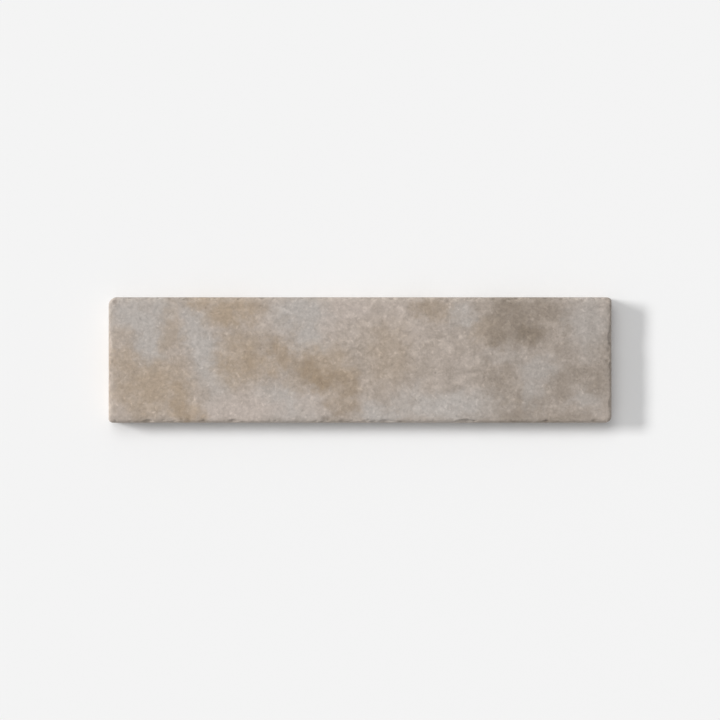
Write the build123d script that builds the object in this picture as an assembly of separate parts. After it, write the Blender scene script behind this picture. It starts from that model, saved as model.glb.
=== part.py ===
"""Tumbled limestone field tile: one piece of sawn, honed and tumbled stone.

Millimetres, +Z up. The tile lies on its sawn bed with the honed face up.
The origin is the middle of the bed, X runs along the length and Y across the width.
"""

import os
from dataclasses import dataclass

from build123d import *

# The sawn block: a 12 x 3 in format, half an inch thick
LENGTH = 304.8
WIDTH = 76.2
THICKNESS = 12.7

# Corners knocked round in plan, named as they are seen from above
CORNER_BACK_LEFT = 5.0
CORNER_BACK_RIGHT = 2.6
CORNER_FRONT_RIGHT = 3.8
CORNER_FRONT_LEFT = 2.4

# Arrises worn round by tumbling, round the honed face and round the sawn bed
FACE_ARRIS = 1.8
BED_ARRIS = 1.2


@dataclass
class Chip:
    """A shallow scallop spalled from the arris round the honed face."""

    length: float  # along the arris, from tip to tip
    bite: float  # how deep it goes in from the arris as it was sawn
    lean: float  # degrees that it is tipped up from the side towards the face


# Distances are from the named end of a side to the middle of the chip
BACK_CHIPS_FROM_LEFT = {50.0: Chip(11.0, 1.9, 52.0)}
BACK_CHIPS_FROM_RIGHT = {99.0: Chip(17.0, 1.6, 48.0), 58.0: Chip(14.0, 1.7, 55.0)}
FRONT_CHIPS_FROM_LEFT = {24.0: Chip(9.0, 1.6, 40.0), 76.0: Chip(8.0, 1.7, 56.0)}
FRONT_CHIPS_FROM_RIGHT = {
    137.0: Chip(10.0, 1.7, 46.0),
    88.0: Chip(16.0, 1.8, 50.0),
    40.0: Chip(7.0, 1.4, 42.0),
}
RIGHT_CHIPS_FROM_FRONT = {
    11.5: Chip(9.0, 1.6, 38.0),
    35.0: Chip(6.0, 1.4, 50.0),
    52.0: Chip(12.0, 1.9, 45.0),
}
LEFT_CHIPS_FROM_FRONT = {47.0: Chip(13.0, 1.6, 50.0)}

NODE = "limestone_tile"


def sawn_outline():
    """The tile's outline in plan, with each corner at its own radius."""
    right, back = LENGTH / 2, WIDTH / 2
    corners = {
        (-right, back): CORNER_BACK_LEFT,
        (right, back): CORNER_BACK_RIGHT,
        (right, -back): CORNER_FRONT_RIGHT,
        (-right, -back): CORNER_FRONT_LEFT,
    }
    outline = Rectangle(LENGTH, WIDTH)
    for place, radius in corners.items():
        corner = outline.vertices().sort_by_distance(place)[0]
        outline = fillet(corner, radius)
    return outline


def tumbled_slab():
    """The outline raised to the tile's thickness, with its arrises worn round."""
    slab = extrude(sawn_outline(), THICKNESS)
    slab = fillet(slab.edges().group_by(Axis.Z)[-1], FACE_ARRIS)
    return fillet(slab.edges().group_by(Axis.Z)[0], BED_ARRIS)


def flake(chip):
    """What a chip takes away: a ball that cuts the sawn arris, here the X axis, from tip to tip."""
    tip = chip.length / 2
    radius = (tip**2 + chip.bite**2) / (2 * chip.bite)
    return Rot(chip.lean, 0, 0) * Pos(0, radius - chip.bite, 0) * Sphere(radius)


def chipped(tile):
    """The tile with its flakes taken out of the arris round the face."""
    right, back = LENGTH / 2, WIDTH / 2
    places = [
        *[(at - right, back, 0, chip) for at, chip in BACK_CHIPS_FROM_LEFT.items()],
        *[(right - at, back, 0, chip) for at, chip in BACK_CHIPS_FROM_RIGHT.items()],
        *[(at - right, -back, 180, chip) for at, chip in FRONT_CHIPS_FROM_LEFT.items()],
        *[(right - at, -back, 180, chip) for at, chip in FRONT_CHIPS_FROM_RIGHT.items()],
        *[(right, at - back, -90, chip) for at, chip in RIGHT_CHIPS_FROM_FRONT.items()],
        *[(-right, at - back, 90, chip) for at, chip in LEFT_CHIPS_FROM_FRONT.items()],
    ]
    for x, y, outward, chip in places:
        tile -= Pos(x, y, THICKNESS) * Rot(0, 0, outward) * flake(chip)
    return tile


tile = chipped(tumbled_slab())
os.makedirs("parts", exist_ok=True)
export_step(tile, f"parts/{NODE}.step")
print(NODE, "volume", round(tile.volume), "mm3, faces", len(tile.faces()))
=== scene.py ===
import math

import bpy
import numpy as np
from mathutils import Color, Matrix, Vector, noise
from mathutils.bvhtree import BVHTree
from mathutils.kdtree import KDTree


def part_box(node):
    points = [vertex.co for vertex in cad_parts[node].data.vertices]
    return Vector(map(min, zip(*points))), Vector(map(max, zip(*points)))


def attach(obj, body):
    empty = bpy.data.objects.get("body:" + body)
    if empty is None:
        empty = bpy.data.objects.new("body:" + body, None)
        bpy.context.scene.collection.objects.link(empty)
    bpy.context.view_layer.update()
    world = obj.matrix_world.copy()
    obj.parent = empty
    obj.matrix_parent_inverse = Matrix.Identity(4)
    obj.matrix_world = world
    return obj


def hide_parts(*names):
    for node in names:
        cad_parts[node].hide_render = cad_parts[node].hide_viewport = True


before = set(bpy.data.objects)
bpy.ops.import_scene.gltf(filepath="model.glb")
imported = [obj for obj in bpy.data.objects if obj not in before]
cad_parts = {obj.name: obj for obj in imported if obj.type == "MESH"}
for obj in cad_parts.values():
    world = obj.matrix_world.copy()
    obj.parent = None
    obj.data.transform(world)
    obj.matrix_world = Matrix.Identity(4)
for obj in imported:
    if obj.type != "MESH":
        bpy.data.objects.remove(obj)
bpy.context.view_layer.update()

# The tile: one slab of fine-grained limestone, with drifts of rust and clay through it.
# It was sawn to size, honed on its face, and tumbled until its arrises and corners
# wore round and shed small flakes, which left paler bruises.
TILE = "limestone_tile"
MM = 0.001
X, Y, Z = range(3)
low, high = (np.array(corner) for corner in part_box(TILE))
size = high - low

# The skin is a grid of lines over the box round the tile, closest along the arrises
ARRIS_STEP = 0.42 * MM
FACE_STEP = 0.72 * MM
SIDE_STEP = 0.62 * MM
FINE_BAND = 6.0 * MM
SIDE_FINE_BAND = 2.6 * MM
RULER_MARKS = 4001


def grid_lines(length, broad, band):
    """Places of the grid lines along one side, with an even number of gaps, closest at its ends."""
    ruler = np.linspace(0, length, RULER_MARKS)
    from_end = np.minimum(ruler, length - ruler)
    gap = np.interp(from_end, (band / 2, band), (ARRIS_STEP, broad))
    gaps_so_far = np.concatenate(([0], np.cumsum(np.diff(ruler) / gap[1:])))
    count = 2 * math.ceil(gaps_so_far[-1] / 2)
    return np.interp(np.linspace(0, gaps_so_far[-1], count + 1), gaps_so_far, ruler)


lines = [
    low[X] + grid_lines(size[X], FACE_STEP, FINE_BAND),
    low[Y] + grid_lines(size[Y], FACE_STEP, FINE_BAND),
    low[Z] + grid_lines(size[Z], SIDE_STEP, SIDE_FINE_BAND),
]

# Points where the lines cross on the box, with every other line left out inside the bed
on_box = np.zeros([len(line) for line in lines], bool)
on_box[[0, -1]] = True
on_box[:, [0, -1]] = True
on_box[:, :, -1] = True
on_box[::2, ::2, 0] = True
number = np.full(on_box.shape, -1)
number[on_box] = np.arange(on_box.sum())
crossing = np.argwhere(on_box)
box_points = np.column_stack([lines[axis][crossing[:, axis]] for axis in (X, Y, Z)])


def quads(grid, facing_out):
    """Four-cornered faces over a grid of point numbers."""
    corners = [grid[:-1, :-1], grid[1:, :-1], grid[1:, 1:], grid[:-1, 1:]]
    return np.stack(corners if facing_out else corners[::-1], -1).reshape(-1, 4).tolist()


def bed_faces(grid):
    """Faces of two by two gaps, which take in the points between them round the rim."""
    ring = [(0, 0), (0, 1), (0, 2), (1, 2), (2, 2), (2, 1), (2, 0), (1, 0)]
    found = []
    for i in range(0, grid.shape[0] - 1, 2):
        for j in range(0, grid.shape[1] - 1, 2):
            points = [grid[i + across, j + up] for across, up in ring]
            found.append([int(point) for point in points if point >= 0])
    return found


# The flat map of the skin: the face and the bed, then the long sides, then the ends side by side
MAP_GAP = 0.012
FACE_TALL, SIDE_TALL = 0.365, 0.066
FACE_WIDE = 1 - 2 * MAP_GAP
END_WIDE = (FACE_WIDE - MAP_GAP) / 2
second_end = 2 * MAP_GAP + END_WIDE
rises = [MAP_GAP, FACE_TALL + MAP_GAP, FACE_TALL + MAP_GAP, SIDE_TALL + MAP_GAP, SIDE_TALL + MAP_GAP]
face_row, bed_row, front_row, back_row, end_row = np.cumsum(rises)

# Each side's faces, the two axes it is laid out along, and its corner and span on the flat map
sides = [
    (quads(number[:, :, -1], True), (X, Y), (MAP_GAP, face_row), (FACE_WIDE, FACE_TALL)),
    (bed_faces(number[:, :, 0]), (X, Y), (MAP_GAP, bed_row), (FACE_WIDE, FACE_TALL)),
    (quads(number[:, 0, :], True), (X, Z), (MAP_GAP, front_row), (FACE_WIDE, SIDE_TALL)),
    (quads(number[:, -1, :], False), (X, Z), (MAP_GAP, back_row), (FACE_WIDE, SIDE_TALL)),
    (quads(number[-1, :, :], True), (Y, Z), (MAP_GAP, end_row), (END_WIDE, SIDE_TALL)),
    (quads(number[0, :, :], False), (Y, Z), (second_end, end_row), (END_WIDE, SIDE_TALL)),
]

# Each point goes in along a line to a core of the box until it meets the sawn and chipped solid
CORE_INSET = 3.0 * MM
START_OUTSIDE = 1.3
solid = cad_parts[TILE].data
corners = [corner.co for corner in solid.vertices]
solid_skin = BVHTree.FromPolygons(corners, [face.vertices for face in solid.polygons])
core = np.clip(box_points, low + CORE_INSET, high - CORE_INSET)
start = core + START_OUTSIDE * (box_points - core)
points = np.array([solid_skin.ray_cast(Vector(a), Vector(b - a))[0] for a, b in zip(start, core)])

mesh = bpy.data.meshes.new("tile_skin")
mesh.from_pydata(points, [], [face for side in sides for face in side[0]])
mesh.shade_smooth()
share = (box_points - low) / size
spots = []
for faces, axes, corner, span in sides:
    spots.append(np.array(corner) + share[np.concatenate(faces)][:, axes] * np.array(span))
flat_map = mesh.uv_layers.new(name="OFBake")
flat_map.data.foreach_set("uv", np.concatenate(spots).astype(np.float32).ravel())
edges = np.zeros(2 * len(mesh.edges), np.int32)
mesh.edges.foreach_get("vertices", edges)
edges = edges.reshape(-1, 2)


def softened(values):
    """Each point's value, half way to the mean of its neighbours'."""
    total = np.zeros_like(values)
    count = np.zeros(len(values))
    for here, there in (edges.T, edges.T[::-1]):
        np.add.at(total, here, values[there])
        np.add.at(count, here, 1)
    return (values + total / count[:, None]) / 2


def smooth_step(value, start, end):
    """0 before start, 1 after end, and a smooth slope between them."""
    part = np.clip((value - start) / (end - start), 0, 1)
    return part * part * (3 - 2 * part)


# Nearness to an arris, and to the honed face, as shares from 0 to 1
ARRIS_OUTER, ARRIS_INNER = 3.6 * MM, 0.6 * MM
FACE_FROM, FACE_FULL = 1.0 * MM, 4.0 * MM
ARRIS_SOFTENING = 2
to_side = np.minimum(box_points - low, high - box_points)
from_arris = np.sort(to_side, axis=1)[:, 1]
near_arris = smooth_step(from_arris, ARRIS_OUTER, ARRIS_INNER)
on_face = (crossing[:, Z] == len(lines[Z]) - 1) * smooth_step(from_arris, FACE_FROM, FACE_FULL)
for _ in range(ARRIS_SOFTENING):
    points += near_arris[:, None] * (softened(points) - points)
mesh.vertices.foreach_set("co", points.astype(np.float32).ravel())
mesh.update()
outward = np.zeros(3 * len(points), np.float32)
mesh.vertices.foreach_get("normal", outward)
outward = outward.reshape(-1, 3)


def ripple(wavelength, seed):
    """Smooth noise at every point, about -0.7 to 0.7, the same on each run."""
    return np.array([noise.noise(Vector(point / wavelength + seed)) for point in points])


# Depths worn away: a wavering, bitten arris, least at the bed and the ends, rough sides, and a flat face
WORN, BED_SHARE = 0.3 * MM, 0.3
BED_WEAR_TOP, FACE_WEAR_FOOT = 3.0 * MM, 8.0 * MM
END_SHARE, END_REACH = 0.35, 6.0 * MM
WAVER, WAVER_WAVE = 0.34 * MM, 17.0 * MM
BITE, BITE_FROM, BITE_FULL = 0.34 * MM, 0.20, 0.44
BITE_WAVE, NIBBLE_WAVE, NIBBLE_SHARE = 3.1 * MM, 1.4 * MM, 0.35
TUMBLED, COARSE_WAVE, FINE_WAVE = 0.10 * MM, 2.6 * MM, 1.2 * MM
HONED, HONED_WAVE = 0.030 * MM, 38.0 * MM
bites = ripple(BITE_WAVE, seed=7.3) + NIBBLE_SHARE * ripple(NIBBLE_WAVE, seed=2.9)
bites = smooth_step(bites, BITE_FROM, BITE_FULL)
rough = (ripple(COARSE_WAVE, seed=4.1) + ripple(FINE_WAVE, seed=9.7)) / 2
wear = np.interp(box_points[:, Z] - low[Z], (BED_WEAR_TOP, FACE_WEAR_FOOT), (BED_SHARE, 1))
wear *= np.interp(to_side[:, X], (0, END_REACH), (END_SHARE, 1))
waver = (1 + ripple(WAVER_WAVE, seed=0.0)) / 2
depth = near_arris * wear * (WORN + WAVER * waver + BITE * bites)
depth += (1 - on_face) * TUMBLED * (1 + rough) / 2
depth += on_face * HONED * (1 + ripple(HONED_WAVE, seed=5.5)) / 2

# Pits where shell and clay fell out: few and shallow in the honed face, most in the sides
FACE_PITS, SIDE_PITS = 70, 320
FACE_PIT_RADIUS, SIDE_PIT_RADIUS = (0.6 * MM, 1.2 * MM), (0.7 * MM, 2.4 * MM)
FACE_PIT_DEPTH, SIDE_PIT_DEPTH = (0.06 * MM, 0.20 * MM), (0.08 * MM, 0.36 * MM)
PIT_ROUNDING = 1.5
PIT_SEED = 41
draw = np.random.default_rng(PIT_SEED)
near_points = KDTree(len(points))
for index, point in enumerate(points):
    near_points.insert(point, index)
near_points.balance()
hollow = np.zeros(len(points))


def pit(count, odds, radii, depths):
    """Deepens hollow round that many points, drawn by their odds, each with its own radius and depth."""
    for middle in draw.choice(len(points), count, p=odds / odds.sum(), replace=False):
        radius = draw.uniform(*radii)
        deepest = draw.uniform(*depths)
        for _, index, distance in near_points.find_range(points[middle], radius):
            deep = deepest * (1 - (distance / radius) ** 2) ** PIT_ROUNDING
            hollow[index] = max(hollow[index], deep)


pit(FACE_PITS, on_face, FACE_PIT_RADIUS, FACE_PIT_DEPTH)
pit(SIDE_PITS, 1 - on_face, SIDE_PIT_RADIUS, SIDE_PIT_DEPTH)
points = np.clip(points - outward * (depth + hollow)[:, None], low, high)
mesh.vertices.foreach_set("co", points.astype(np.float32).ravel())

# What the material reads from the mesh, each from 0 to 1
CHALK_OFF_ARRIS = 0.9
marks = {
    "bruise": near_arris * bites,
    "chalky": (1 - on_face) * (1 - CHALK_OFF_ARRIS * near_arris),
    "pitted": hollow / SIDE_PIT_DEPTH[1],
    "tumbled": 1 - on_face,
}
for name, values in marks.items():
    mesh.attributes.new(name, "FLOAT", "POINT").data.foreach_set("value", values.astype(np.float32))
mesh.update()
tile = bpy.data.objects.new("tile_of_limestone", mesh)
bpy.context.scene.collection.objects.link(tile)


class Stone:
    """A value, colour, vector or finish of the stone, or of the room round it: one output of a node."""

    def __init__(self, socket):
        self.socket = socket

    def node(self, kind, settings=None, sockets=None, output=None):
        """A new node: its settings are set first, then its sockets are set or linked, by identifier."""
        tree = self.socket.id_data
        made = tree.nodes.new(kind)
        for name, value in (settings or {}).items():
            setattr(made, name, value)
        for name, value in (sockets or {}).items():
            socket = next(found for found in made.inputs if found.identifier == name)
            if isinstance(value, Stone):
                tree.links.new(value.socket, socket)
            else:
                socket.default_value = value
        first = Stone(made.outputs[0])
        return first if output is None else first.also(output)

    def also(self, output):
        """Another output of the same node."""
        return Stone(next(found for found in self.socket.node.outputs if found.identifier == output))

    def math(self, operation, first, second=0.0):
        return self.node("ShaderNodeMath", {"operation": operation}, {"Value": first, "Value_001": second})

    def __add__(self, other):
        return self.math("ADD", self, other)

    def __sub__(self, other):
        return self.math("SUBTRACT", self, other)

    def __mul__(self, other):
        return self.math("MULTIPLY", self, other)

    def __truediv__(self, other):
        return self.math("DIVIDE", self, other)

    __radd__ = __add__
    __rmul__ = __mul__

    def __rsub__(self, other):
        return self.math("SUBTRACT", other, self)

    def __rtruediv__(self, other):
        return self.math("DIVIDE", other, self)

    def vector(self, operation, other=(0.0, 0.0, 0.0), scale=1.0, output="Vector"):
        sockets = {"Vector": self, "Vector_001": other, "Scale": scale}
        return self.node("ShaderNodeVectorMath", {"operation": operation}, sockets, output)

    def dot(self, other):
        return self.vector("DOT_PRODUCT", other, output="Value")

    def length(self):
        return self.vector("LENGTH", output="Value")

    def ramp(self, start, end, low=0.0, high=1.0):
        """A smooth slope from low at start to high at end, and level beyond them."""
        sockets = {"Value": self, "From Min": start, "From Max": end, "To Min": low, "To Max": high}
        return self.node("ShaderNodeMapRange", {"interpolation_type": "SMOOTHSTEP"}, sockets)

    def clouds(self, wavelength, octaves, rough=0.5, output="Fac"):
        """Smooth noise over the stone, about 0.2 to 0.8, with self as the place in millimetres."""
        sockets = {"Vector": self, "Scale": 1 / wavelength, "Detail": octaves, "Roughness": rough}
        return self.node("ShaderNodeTexNoise", None, sockets, output)

    def cells(self, spacing, output):
        """The stone divided into cells about one spacing across, with self as the place in millimetres."""
        return self.node("ShaderNodeTexVoronoi", None, {"Vector": self, "Scale": 1 / spacing}, output)

    def tinted(self, amount, colour):
        """This colour, with amount of another laid over it."""
        sockets = {"Factor_Float": amount, "A_Color": self, "B_Color": colour}
        return self.node("ShaderNodeMix", {"data_type": "RGBA"}, sockets, "Result_Color")


SCREEN_WHITE = 255


def seen(red, green, blue):
    """A colour given as it is seen on a screen, 0 to 255, as the light that a surface gives back."""
    shown = Color([value / SCREEN_WHITE for value in (red, green, blue)])
    return (*shown.from_srgb_to_scene_linear(), 1.0)


limestone = bpy.data.materials.new("honed_limestone")
limestone.use_nodes = True
coordinates = limestone.node_tree.nodes.new("ShaderNodeTexCoord")
place = Stone(coordinates.outputs["Object"]).vector("SCALE", scale=1 / MM)

# Drifts in the stone slant through the slab, and their rims wander and fray
SLANT = (0.9, -0.6, 0.0)
WANDER, WANDER_WAVE = 13.0, 16.0
FRAY, FRAY_WAVE = 11.0, 4.5
UP = (0.0, 0.0, 1.0)
LEVEL = (1.0, 1.0, 0.0)
NOISE_MIDDLE = 0.5
MIDDLE_COLOUR = (NOISE_MIDDLE, NOISE_MIDDLE, NOISE_MIDDLE)
below_face = size[Z] / MM - place.dot(UP)
slant = place.node("ShaderNodeVectorMath", {"operation": "SCALE"}, {"Vector": SLANT, "Scale": below_face})
wander = place.clouds(WANDER_WAVE, octaves=1.0, output="Color").vector("SUBTRACT", MIDDLE_COLOUR)
fray = place.clouds(FRAY_WAVE, octaves=3.0, rough=0.6, output="Color")
fray = fray.vector("SUBTRACT", MIDDLE_COLOUR)
drifted = place.vector("ADD", slant).vector("ADD", wander.vector("SCALE", scale=WANDER))
drifted = drifted.vector("ADD", fray.vector("SCALE", scale=FRAY)).vector("MULTIPLY", LEVEL)

# Each drift: x and y of its middle in mm, half its length and width, turn in degrees, strength
PALE_DRIFTS = [
    (-136, 24, 20, 14, -15, 1.0),
    (-128, 10, 9, 15, 15, 1.0),
    (-120, 31, 9, 8, 0, 0.9),
    (-97, 10, 10, 27, 17, 1.0),
    (-85, -12, 9, 14, 15, 0.65),
    (-84, -27, 10, 9, 0, 0.6),
    (-34, 28, 19, 11, 0, 1.0),
    (-31, 15, 9, 12, 0, 1.0),
    (-49, -27, 14, 12, 0, 1.0),
    (-34, -30, 12, 8, 0, 0.6),
    (52, -29, 33, 11, 0, 1.0),
    (14, -33, 16, 7, 0, 1.0),
    (62, 28, 9, 7, 30, 0.75),
    (108, -6, 11, 9, 0, 0.8),
    (104, -20, 7, 12, 0, 0.8),
    (90, 3, 15, 4, 0, 0.3),
    (139, 21, 14, 18, 0, 0.8),
    (137, -24, 11, 7, 0, 0.7),
]
CREAM_DRIFTS = [
    (-72, -30, 26, 9, 0, 1.0),
    (-30, -24, 12, 7, 0, 0.5),
    (-6, 32, 15, 8, 0, 1.0),
    (-18, 21, 9, 7, 0, 0.6),
    (20, 27, 14, 8, 0, 0.5),
    (-151, -8, 4, 30, 0, 0.6),
    (-146, -29, 9, 9, 0, 0.6),
    (-147, 15, 9, 7, 0, 0.4),
    (33, 17, 14, 6, 0, 0.45),
    (56, 2, 7, 13, 0, 0.3),
]
TAN_DRIFTS = [
    (-127, -17, 25, 17, 0, 0.85),
    (-109, -26, 8, 15, 20, 1.0),
    (-143, -2, 11, 10, 0, 0.7),
    (-146, 14, 7, 9, 0, 0.35),
    (-115, 20, 6, 17, -3, 0.4),
    (-104, -31, 10, 8, 0, 0.9),
    (-93, 35, 12, 5, 15, 0.8),
    (-77, 29, 20, 10, 0, 1.0),
    (-72, 0, 15, 17, 0, 0.85),
    (-56, -3, 8, 6, 0, 0.8),
    (-38, -16, 9, 7, 0, 0.3),
    (-46, 5, 11, 8, -35, 0.6),
    (-21, -5, 18, 15, -20, 0.7),
    (43, 31, 13, 7, 0, 0.6),
    (76, 18, 11, 8, 0, 0.45),
    (17, 4, 16, 19, 0, 0.45),
]
RUST_DRIFTS = [
    (-109, -31, 8, 8, 20, 0.4),
    (-70, -3, 10, 8, 0, 0.35),
    (-48, 5, 14, 6, -35, 0.45),
    (-25, -11, 14, 9, -30, 0.85),
    (-8, -15, 12, 8, 0, 0.6),
    (-9, -27, 9, 8, -30, 0.5),
]
# The first of these greys the right end: partly the stone's own tone, partly painted shade of the light
# falling off there.
ASH_AND_SHADE_DRIFTS = [
    (127, 2, 56, 50, 0, 0.26),
    (62, -12, 10, 10, 0, 0.2),
    (57, 19, 10, 6, 0, 0.25),
]
CLAY_DRIFTS = [
    (96, 27, 24, 16, 0, 0.74),
    (103, 17, 10, 8, 0, 1.0),
    (82, 15, 8, 7, 0, 0.8),
    (113, 19, 12, 13, 0, 0.45),
    (83, -8, 11, 9, 0, 0.45),
    (90, -21, 10, 9, 0, 0.4),
    (137, -12, 16, 10, 0, 0.36),
    (121, -15, 8, 10, 0, 0.4),
    (104, -36, 34, 9, 0, 0.5),
    (147, 3, 9, 16, 0, 0.24),
    (42, 5, 16, 7, 0, 0.18),
    (20, -15, 9, 8, 0, 0.15),
    (41, 31, 12, 6, 0, 0.4),
]
DRIFT_RIM, DRIFT_HEART = 1.5, 0.35


def drifts(listed):
    """How far the stone belongs to any of the listed drifts, from 0 to 1."""
    found = 0.0
    for x, y, long, wide, turn, strength in listed:
        placed = {
            "Vector": drifted,
            "Location": (x, y, 0.0),
            "Rotation": (0.0, 0.0, math.radians(turn)),
            "Scale": (long, wide, 1.0),
        }
        unturned = drifted.node("ShaderNodeMapping", {"vector_type": "TEXTURE"}, placed)
        inside = unturned.length().ramp(DRIFT_RIM, DRIFT_HEART, 0.0, strength)
        found = inside.math("MAXIMUM", found, inside)
    return found


# Colours of the stone and its drifts, as seen in full light, which cloud over and thin out. The ash grey
# is partly painted shade at the right end.
LIGHT_GROUND, DARK_GROUND = seen(180, 168, 158), seen(162, 150, 139)
PALE = seen(176, 169, 163)
CREAM = seen(183, 171, 162)
TAN = seen(167, 149, 129)
RUST = seen(149, 130, 108)
ASH_AND_SHADE = seen(132, 124, 117)
CLAY = seen(133, 120, 106)
CLOUD_WAVE = 10.0
MOST_NOISE = (0.3, 0.7)
cloud = place.clouds(CLOUD_WAVE, octaves=4.0, rough=0.65)
ground = {"Factor_Float": cloud.ramp(*MOST_NOISE), "A_Color": DARK_GROUND, "B_Color": LIGHT_GROUND}
colour = cloud.node("ShaderNodeMix", {"data_type": "RGBA"}, ground, "Result_Color")
thin_where_dark = cloud.ramp(start=0.2, end=0.55, low=0.5)
thin_where_light = cloud.ramp(start=0.8, end=0.4, low=0.6)
layers = [
    (PALE_DRIFTS, thin_where_dark, PALE),
    (CREAM_DRIFTS, thin_where_dark, CREAM),
    (TAN_DRIFTS, thin_where_light, TAN),
    (RUST_DRIFTS, thin_where_light, RUST),
    (ASH_AND_SHADE_DRIFTS, thin_where_light, ASH_AND_SHADE),
    (CLAY_DRIFTS, thin_where_light, CLAY),
]
for listed, thinned, tint in layers:
    colour = colour.tinted(drifts(listed) * thinned, tint)

# Bits of shell and dark grains, one to a cell, which lie nearly level and are bent a little
NEARLY_LEVEL = (1.0, 1.0, 0.4)
BEND = 3.2
LOTS = (5.3, 7.9, 3.1)
BIT_RIM, BIT_HEART = 1.6, 0.2
EMPTY_CELLS, SHORTEST = 0.25, 0.3
bent = place.vector("ADD", fray.vector("SCALE", scale=BEND))


def bits(spacing, long, wide, seed):
    """1 on each bit that the surface cuts and 0 off it: some cells are empty, and some bits faint."""
    moved = bent.vector("ADD", (seed, seed, seed))
    middle = moved.cells(spacing, "Position")
    chance = middle.also("Color")
    luck = chance.math("FRACT", chance.dot(LOTS))
    lie = chance.vector("SUBTRACT", MIDDLE_COLOUR).vector("MULTIPLY", NEARLY_LEVEL).vector("NORMALIZE")
    away = moved.vector("SUBTRACT", middle)
    along = away.dot(lie)
    beside = away.vector("SUBTRACT", lie.vector("SCALE", scale=along)).length()
    lengthwise = along / ((luck + SHORTEST) * long)
    crosswise = beside / wide
    inside = (lengthwise * lengthwise + crosswise * crosswise).ramp(BIT_RIM, BIT_HEART)
    return inside * luck.ramp(EMPTY_CELLS, 1.0)


# Grains, speckle, shells, and broken streaks that swirl where the mud settled, each with its share of tone
GRAIN, GRAIN_TONE = 1.3, 0.05
SPECKLE_WAVE, SPECKLE_TONE = 2.6, 0.16
FLOW_WAVE, STREAKS_TO_FLOW = 28.0, 48.0
BREAK_WAVE, STREAK_TONE = 5.0, 0.11
FLECK_TONE, SLIVER_TONE, DARK_TONE = 0.14, 0.20, 0.16
ALL_NOISE = (0.2, 0.8)
FIRST_SHARE = (1.0, 0.0, 0.0)
grain = place.cells(GRAIN, "Color").dot(FIRST_SHARE)
speckle = place.clouds(SPECKLE_WAVE, octaves=5.0, rough=0.78)
flow = place.clouds(FLOW_WAVE, octaves=2.0, rough=0.45)
streaks = flow.math("SINE", flow * STREAKS_TO_FLOW).ramp(start=0.3, end=1.0)
streaks = streaks * place.clouds(BREAK_WAVE, octaves=2.0).ramp(start=0.47, end=0.62)
flecks = bits(spacing=3.3, long=1.1, wide=0.8, seed=11.3)
slivers = bits(spacing=3.3, long=2.4, wide=0.52, seed=0.0)
dark_grains = bits(spacing=3.9, long=0.9, wide=0.55, seed=77.1)
tone = grain.ramp(0.0, 1.0, 1 - GRAIN_TONE, 1 + GRAIN_TONE)
tone = tone + speckle.ramp(*ALL_NOISE, -SPECKLE_TONE, SPECKLE_TONE) + streaks * STREAK_TONE
tone = tone + flecks * FLECK_TONE + slivers * SLIVER_TONE - dark_grains * DARK_TONE
colour = colour.vector("SCALE", scale=tone)

# Chalk on the tumbled sides, paler bruises in the bites, and dirt in the pits
CHALK, BRUISED, DIRT = seen(190, 181, 170), seen(202, 192, 179), seen(112, 100, 88)
CHALK_LEAST, CHALK_MOST = 0.1, 0.3
BRUISED_SHARE, DIRT_SHARE = 0.26, 0.45
bruise, chalky, pitted, tumbled = (
    place.node("ShaderNodeAttribute", {"attribute_name": name}, None, "Fac") for name in marks
)
colour = colour.tinted(chalky * speckle.ramp(*MOST_NOISE, CHALK_LEAST, CHALK_MOST), CHALK)
colour = colour.tinted(bruise * BRUISED_SHARE, BRUISED).tinted(pitted * DIRT_SHARE, DIRT)

# Arcs that the saw blade left across the bed
BLADE_MIDDLE = (70.0, -390.0, 0.0)
ARC_GAP, ARC_TONE = 1.9, 0.3
BED_TOP, BED_FOOT = 1.0, 0.5
across_arcs = {
    "W": place.vector("DISTANCE", BLADE_MIDDLE, output="Value"),
    "Scale": 1 / ARC_GAP,
    "Detail": 2.0,
}
arcs = place.node("ShaderNodeTexNoise", {"noise_dimensions": "1D"}, across_arcs, "Fac")
arcs = (arcs - NOISE_MIDDLE) * place.dot(UP).ramp(BED_TOP, BED_FOOT)
colour = colour.vector("SCALE", scale=arcs * ARC_TONE + 1.0)

# Relief that is too fine for the mesh, faint on the honed face, and a face smoother than the sides
RELIEF, RELIEF_STRENGTH = 0.35 * MM, 0.6
GRAIN_RELIEF, SPECKLE_RELIEF, SLIVER_RELIEF, DARK_RELIEF = 0.25, 1.1, 0.12, 0.3
HONED_RELIEF = 0.3
HONED_ROUGHNESS, TUMBLED_ROUGHER = (0.56, 0.66), 0.16
relief = grain * GRAIN_RELIEF + speckle * SPECKLE_RELIEF
relief = relief + slivers * SLIVER_RELIEF - dark_grains * DARK_RELIEF
height = relief * (tumbled * (1 - HONED_RELIEF) + HONED_RELIEF) + arcs
bump = {"Strength": RELIEF_STRENGTH, "Distance": RELIEF, "Height": height}
finish = {
    "Base Color": colour,
    "Roughness": speckle.ramp(*MOST_NOISE, *HONED_ROUGHNESS) + tumbled * TUMBLED_ROUGHER,
    "Normal": place.node("ShaderNodeBump", None, bump),
}
surface = limestone.node_tree.nodes["Principled BSDF"].inputs
for name, value in finish.items():
    limestone.node_tree.links.new(value.socket, surface[name])
mesh.materials.append(limestone)
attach(tile, "root")
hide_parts(TILE)

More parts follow.
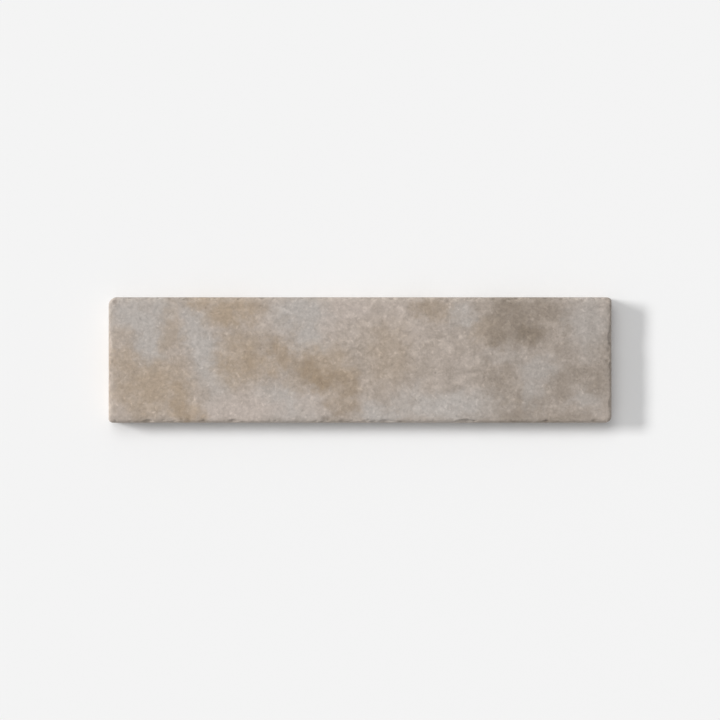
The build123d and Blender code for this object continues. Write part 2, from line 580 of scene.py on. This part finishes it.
# The floor: a wide sheet of matt white paper that the tile lies on.
# It is no part of the object. Its edge is far off, where it fades into the white room.
FLOOR_SIDE = 12.0
FLOOR_WHITE = 0.908
half = FLOOR_SIDE / 2
floor_corners = [(-half, -half, 0), (half, -half, 0), (half, half, 0), (-half, half, 0)]
floor_mesh = bpy.data.meshes.new("paper")
floor_mesh.from_pydata(floor_corners, [], [(0, 1, 2, 3)])
floor = bpy.data.objects.new("floor", floor_mesh)
floor.location.z = low[Z]
bpy.context.scene.collection.objects.link(floor)
paper = bpy.data.materials.new("matt_paper")
paper.use_nodes = True
paper_finish = paper.node_tree.nodes["Principled BSDF"].inputs
paper_finish["Base Color"].default_value = (FLOOR_WHITE, FLOOR_WHITE, FLOOR_WHITE, 1.0)
paper_finish["Roughness"].default_value = 1.0
paper_finish["Specular IOR Level"].default_value = 0.0
floor_mesh.materials.append(paper)

# The light: a wide soft box low on the left, a larger one high at the back, and a white room.
# The room gives about two fifths of the light on the floor, so the shadows are pale.
# Where the floor ends, the room shows as white as the paper.
ROOM_SHARE, LEFT_SHARE, BACK_SHARE = 0.43, 0.385, 0.21
LIGHTS_AWAY = 240.0
LEFT_SPANS, LEFT_HEIGHT, LEFT_TURN = (0.375, 0.154), math.radians(26.0), math.radians(13.5)
BACK_SPANS, BACK_HEIGHT, BACK_TURN = (0.75, 0.625), math.radians(54.0), math.radians(64.0)
WHITE = (1.0, 1.0, 1.0, 1.0)
world = bpy.data.worlds.new("white_room")
world.use_nodes = True
background = world.node_tree.nodes["Background"]
background.inputs["Color"].default_value = WHITE
background.inputs["Strength"].default_value = ROOM_SHARE
room = Stone(background.outputs["Background"])
backdrop = room.node("ShaderNodeBackground", None, {"Color": WHITE, "Strength": FLOOR_WHITE})
seen_straight = room.node("ShaderNodeLightPath", None, None, "Is Camera Ray")
both = {"Fac": seen_straight, "Shader": room, "Shader_001": backdrop}
shown = room.node("ShaderNodeMixShader", None, both)
world.node_tree.links.new(shown.socket, world.node_tree.nodes["World Output"].inputs["Surface"])
bpy.context.scene.world = world


def soft_box(name, share, spans, height, turn):
    """An oval light at this height and turn, which gives this share of the light on the floor."""
    light = bpy.data.lights.new(name, "AREA")
    light.shape = "ELLIPSE"
    light.size, light.size_y = (span * LIGHTS_AWAY for span in spans)
    light.energy = share * (math.pi * LIGHTS_AWAY) ** 2 / math.sin(height)
    level = math.cos(height)
    towards = Vector((-level * math.cos(turn), level * math.sin(turn), math.sin(height)))
    box = bpy.data.objects.new(name, light)
    box.location = towards * LIGHTS_AWAY
    box.rotation_euler = towards.to_track_quat("Z", "Y").to_euler()
    box.visible_camera = False
    bpy.context.scene.collection.objects.link(box)


soft_box("left_soft_box", LEFT_SHARE, LEFT_SPANS, LEFT_HEIGHT, LEFT_TURN)
soft_box("back_soft_box", BACK_SHARE, BACK_SPANS, BACK_HEIGHT, BACK_TURN)
bpy.context.scene.view_settings.view_transform = "Standard"

# The camera: straight above the middle of the face, with the length across the picture.
# A long lens from far off keeps the sides out of sight, as in the photograph.
TILE_SHARE = 0.70
LENS = 120.0
camera_data = bpy.data.cameras.new("camera")
camera_data.lens = LENS
camera = bpy.data.objects.new("camera", camera_data)
view_width = size[X] / TILE_SHARE
camera.location = (0.0, 0.0, high[Z] + view_width * LENS / camera_data.sensor_width)
bpy.context.scene.collection.objects.link(camera)
bpy.context.scene.camera = camera
